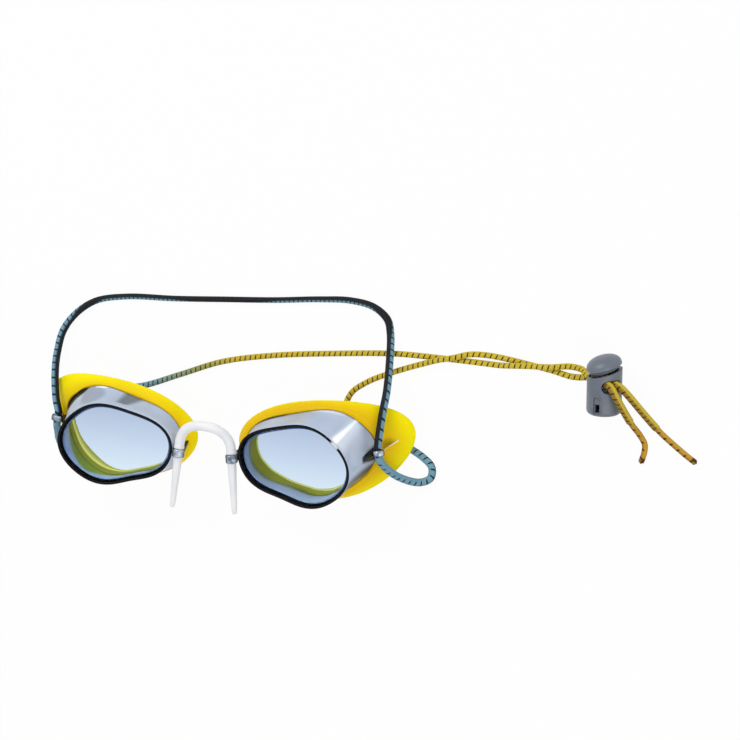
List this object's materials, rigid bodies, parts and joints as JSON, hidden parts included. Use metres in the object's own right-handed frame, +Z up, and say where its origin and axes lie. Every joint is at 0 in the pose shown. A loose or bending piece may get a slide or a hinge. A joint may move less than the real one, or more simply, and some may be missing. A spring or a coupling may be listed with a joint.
{
  "type": "swimming goggles",
  "caption": "Racing swim goggles with tinted oval windows, mirrored cups, soft flanged eye seals, a nose bridge strap and a bungee head strap held by a push-button cord lock.",
  "frame": {"origin": "bottom centre of the box of the cups, nose bridge and cord lock, on the table that the goggles lie on", "axes": "+X along the goggles from the cup at the picture's left to the cup at its right and on to the cord lock, +Y toward the brow side, +Z up out of the table, the way the windows face"},
  "size_m": [0.2569, 0.0851, 0.034],
  "materials": {
    "mirrored_cup": "mirror-like silver coating",
    "window": "clear, light blue",
    "rim": "gloss black",
    "seal": "satin yellow",
    "bridge": "milky, satin",
    "cord_teal": "woven sleeve, teal with black ticks",
    "cord_yellow": "woven sleeve, golden with dark ticks",
    "cord_end": "heat-sealed, dark brown",
    "lock": "matte blue-grey",
    "spring": "bare wire"
  },
  "bodies": {
    "bridge": {"nose_bridge": "bridge", "strap_arch_left": "cord_teal", "strap_arch_right": "cord_teal", "strap_rear_left": "cord_yellow", "strap_rear_right": "cord_yellow", "strap_pair_a": "cord_yellow", "strap_pair_b": "cord_yellow", "strap_tail_a": "cord_yellow", "strap_tail_b": "cord_yellow", "tail_end_a": "cord_end", "tail_end_b": "cord_end"},
    "left_cup": {"left_shell": "mirrored_cup", "left_window": "window", "left_rim": "rim", "left_gasket": "seal"},
    "right_cup": {"right_shell": "mirrored_cup", "right_window": "window", "right_rim": "rim", "right_gasket": "seal"},
    "lock": {"lock_barrel": "lock", "lock_spring": "spring"},
    "button": {"lock_button": "lock"}
  },
  "joints": [
    {"name": "left_cup_swivel", "type": "hinge", "parent": "bridge", "child": "left_cup", "pos_m": [-0.04924, -0.0164, 0.02578], "axis": [0.0923, 0.9757, 0.1989], "range_deg": [0, 40], "stiffness_Nm_per_rad": 0.12, "deforming": ["strap_arch_left", "strap_rear_left"]},
    {"name": "right_cup_swivel", "type": "hinge", "parent": "bridge", "child": "right_cup", "pos_m": [-0.02776, -0.0164, 0.02578], "axis": [0.0923, -0.9757, -0.1989], "range_deg": [0, 40], "stiffness_Nm_per_rad": 0.12, "deforming": ["strap_arch_right", "strap_rear_right"]},
    {"name": "lock_slide", "type": "slide", "parent": "bridge", "child": "lock", "axis": [0.7071, -0.2067, 0.6762], "range_m": [0, 0.004], "deforming": ["strap_pair_a", "strap_pair_b", "strap_tail_a", "strap_tail_b"]},
    {"name": "button_press", "type": "slide", "parent": "lock", "child": "button", "axis": [0, -0.9563, -0.2924], "range_m": [0, 0.0017], "stiffness_N_per_m": 500, "springref_m": -0.001, "deforming": ["lock_spring"]}
  ]
}
